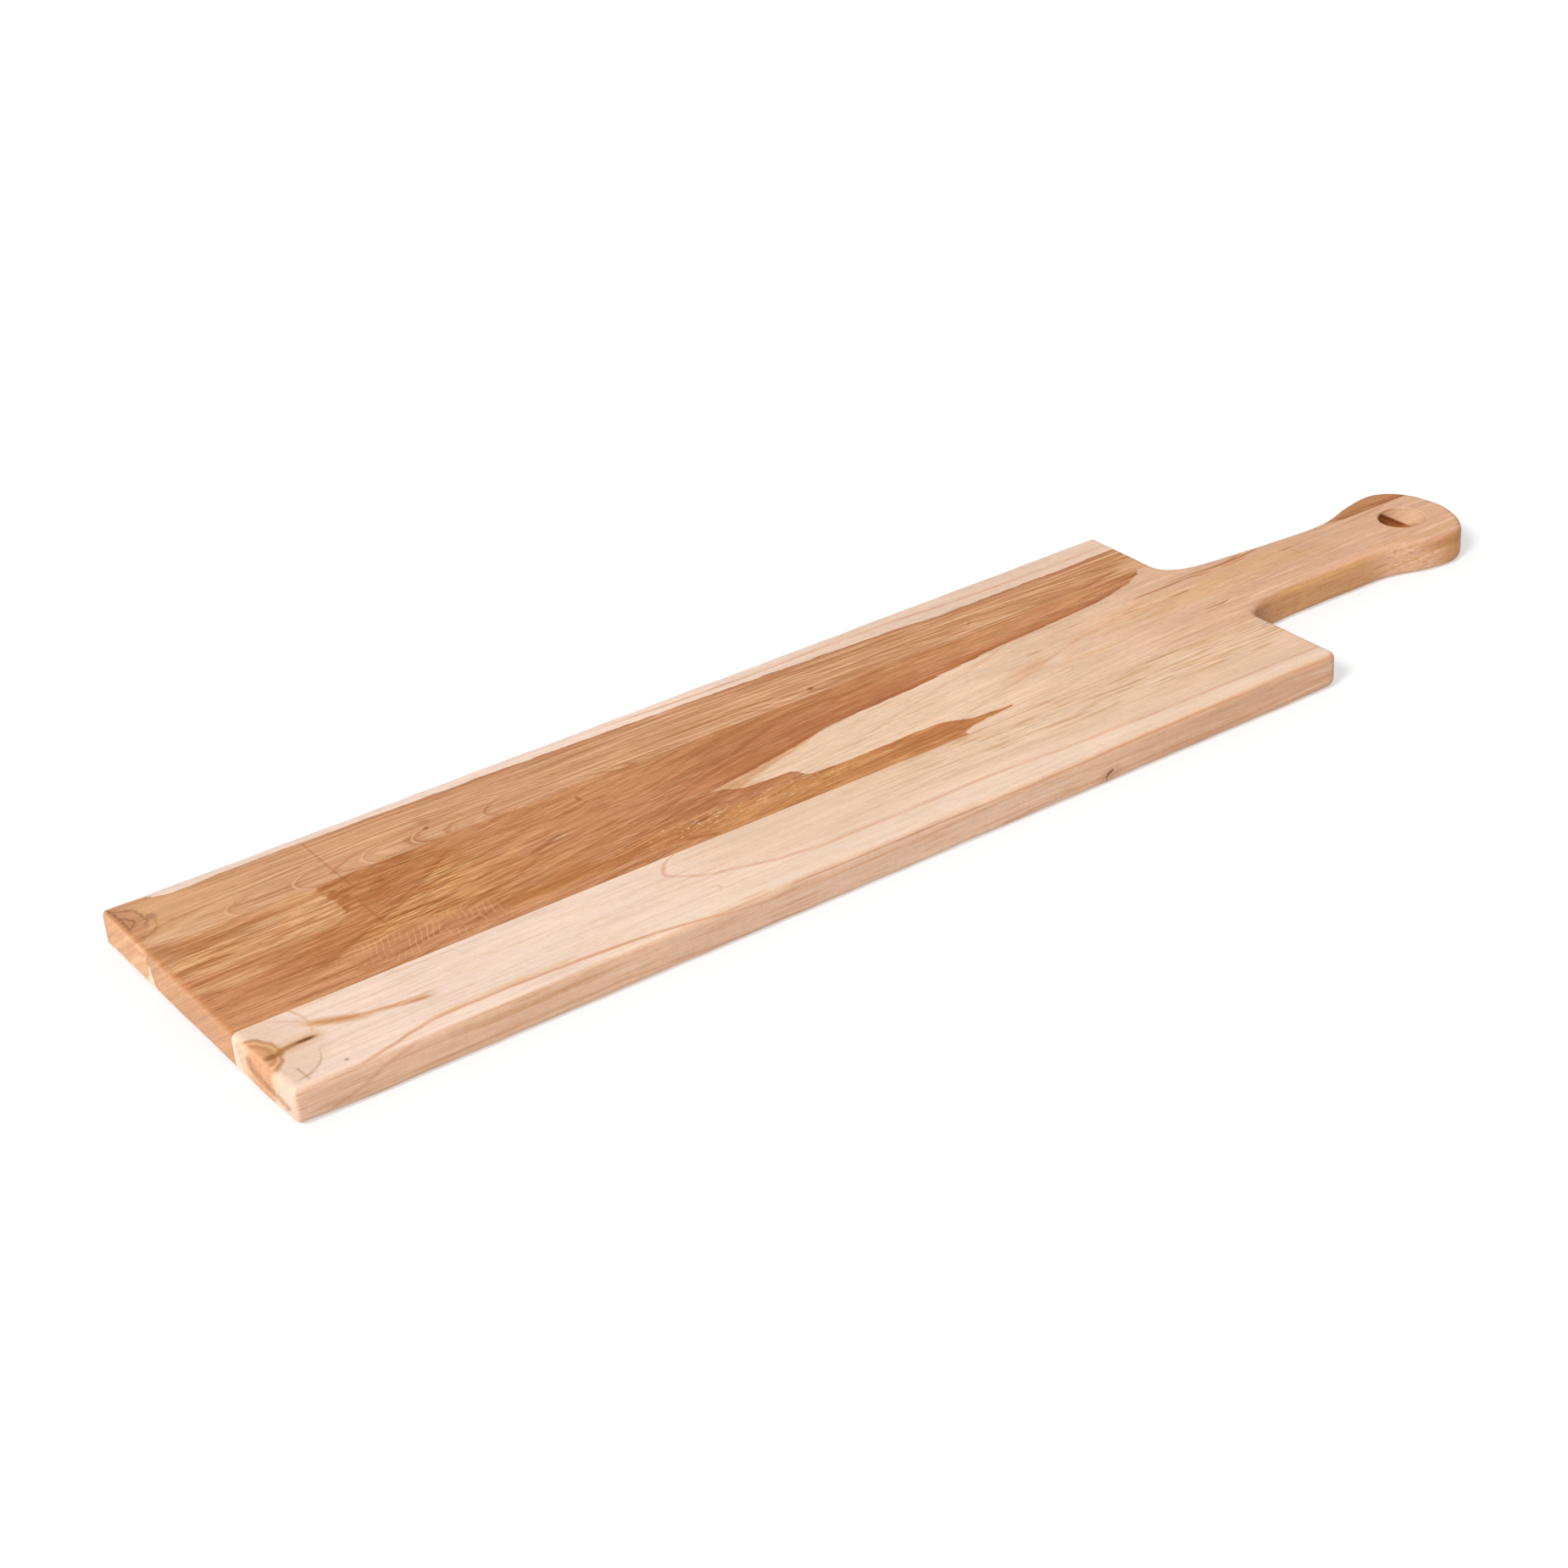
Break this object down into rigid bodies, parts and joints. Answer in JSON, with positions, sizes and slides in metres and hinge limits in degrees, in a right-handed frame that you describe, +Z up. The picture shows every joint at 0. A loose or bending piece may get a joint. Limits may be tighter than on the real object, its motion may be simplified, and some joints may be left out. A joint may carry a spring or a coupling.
{
  "type": "cutting board",
  "caption": "Long paddle-shaped wooden cutting and serving board: edge-glued staves, square shoulders and a slim handle with a round hanging hole in its knob.",
  "frame": {"origin": "under the middle of the bounding box, on the surface that the board lies on", "axes": "+X along the board towards the handle's knob, +Y across the board towards the rear stave, +Z up through the thickness"},
  "size_m": [0.5954, 0.15, 0.015],
  "materials": {
    "heart_and_sapwood": "sanded teak, golden to red-brown heartwood running out into pale sapwood, thin satin oil",
    "heartwood": "sanded teak, mid-brown flame-figured heartwood with a pale sapwood edge, thin satin oil",
    "sapwood": "sanded pale teak sapwood with a knot at one end, thin satin oil",
    "wood_glue": "cured amber-brown wood glue, cleaned off flush"
  },
  "bodies": {
    "root": {"middle_stave": "heart_and_sapwood", "rear_stave": "heartwood", "front_stave": "sapwood", "rear_glue_line": "wood_glue", "front_glue_line": "wood_glue"}
  },
  "joints": []
}
